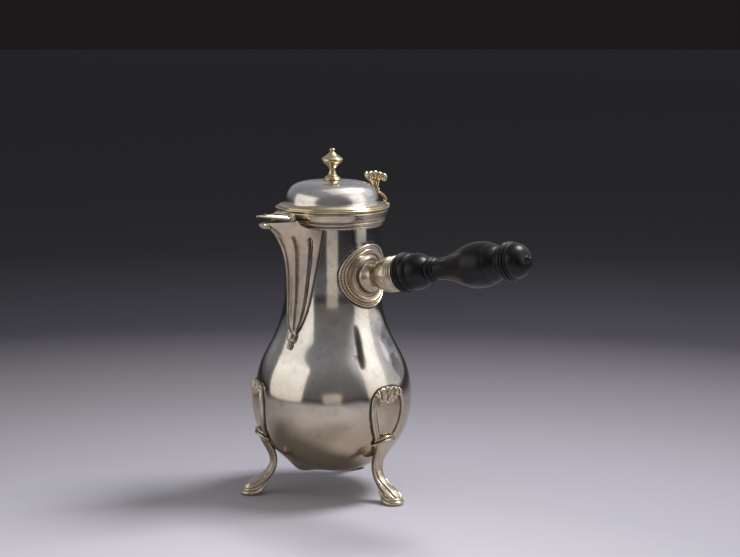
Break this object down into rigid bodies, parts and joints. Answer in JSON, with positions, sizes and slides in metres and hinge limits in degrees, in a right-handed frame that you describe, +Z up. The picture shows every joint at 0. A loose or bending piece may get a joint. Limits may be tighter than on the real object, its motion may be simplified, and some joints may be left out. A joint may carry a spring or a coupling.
{
  "type": "chocolate pot",
  "caption": "Pear-shaped silver chocolate pot on cabriole feet, with a fluted spout under a hinged flap, a domed hinged lid with a swivelling finial, and a turned wooden side handle",
  "frame": {"origin": "on the pot's axis, at the plane the three feet stand on", "axes": "+Z up, along the pot's axis; +X towards the wooden handle; -Y towards the spout; +Y towards the lid hinge"},
  "size_m": [0.2343, 0.1404, 0.25],
  "materials": {
    "silver": "old polished silver with fine scratches and a warm grey tarnish; brushed steel stands in for silver",
    "gilt_silver": "polished silver with a yellow tarnish; brushed steel stands in for silver",
    "pin_silver": "dull drawn silver wire; brushed steel stands in for silver",
    "ebonised_wood": "dark ebonised hardwood, turned, waxed to a satin sheen"
  },
  "bodies": {
    "pot": {"vessel": "silver", "collar": "silver", "spout": "silver", "spout_drop": "silver", "spout_knuckles": "silver", "flap_pin": "pin_silver", "hinge_bracket": "silver", "lid_hinge_pin": "pin_silver", "escutcheon": "silver", "handle_socket": "silver", "handle_grip": "ebonised_wood", "handle_pin": "pin_silver", "foot_under_handle": "silver", "foot_beside_hinge": "silver", "foot_beside_spout": "silver"},
    "lid": {"lid_flange": "gilt_silver", "lid_dome": "silver", "lid_bezel": "silver", "lid_hinge_leaf": "silver", "thumbpiece": "gilt_silver", "cover_rivet": "pin_silver"},
    "cover": {"cover_plate": "silver", "finial": "silver"},
    "flap": {"spout_flap": "silver"}
  },
  "joints": [
    {"name": "lid_hinge", "type": "hinge", "parent": "pot", "child": "lid", "pos_m": [0.01144, 0.04269, 0.2068], "axis": [-0.9659, 0.2588, 0], "range_deg": [0, 105]},
    {"name": "cover_swivel", "type": "hinge", "parent": "lid", "child": "cover", "pos_m": [-0.00587, 0.00629, 0.2272], "axis": [0, 0, 1], "range_deg": [0, 100]},
    {"name": "flap_hinge", "type": "hinge", "parent": "pot", "child": "flap", "pos_m": [0, -0.0507, 0.2043], "axis": [-1, 0, 0], "range_deg": [-8, 52]}
  ]
}
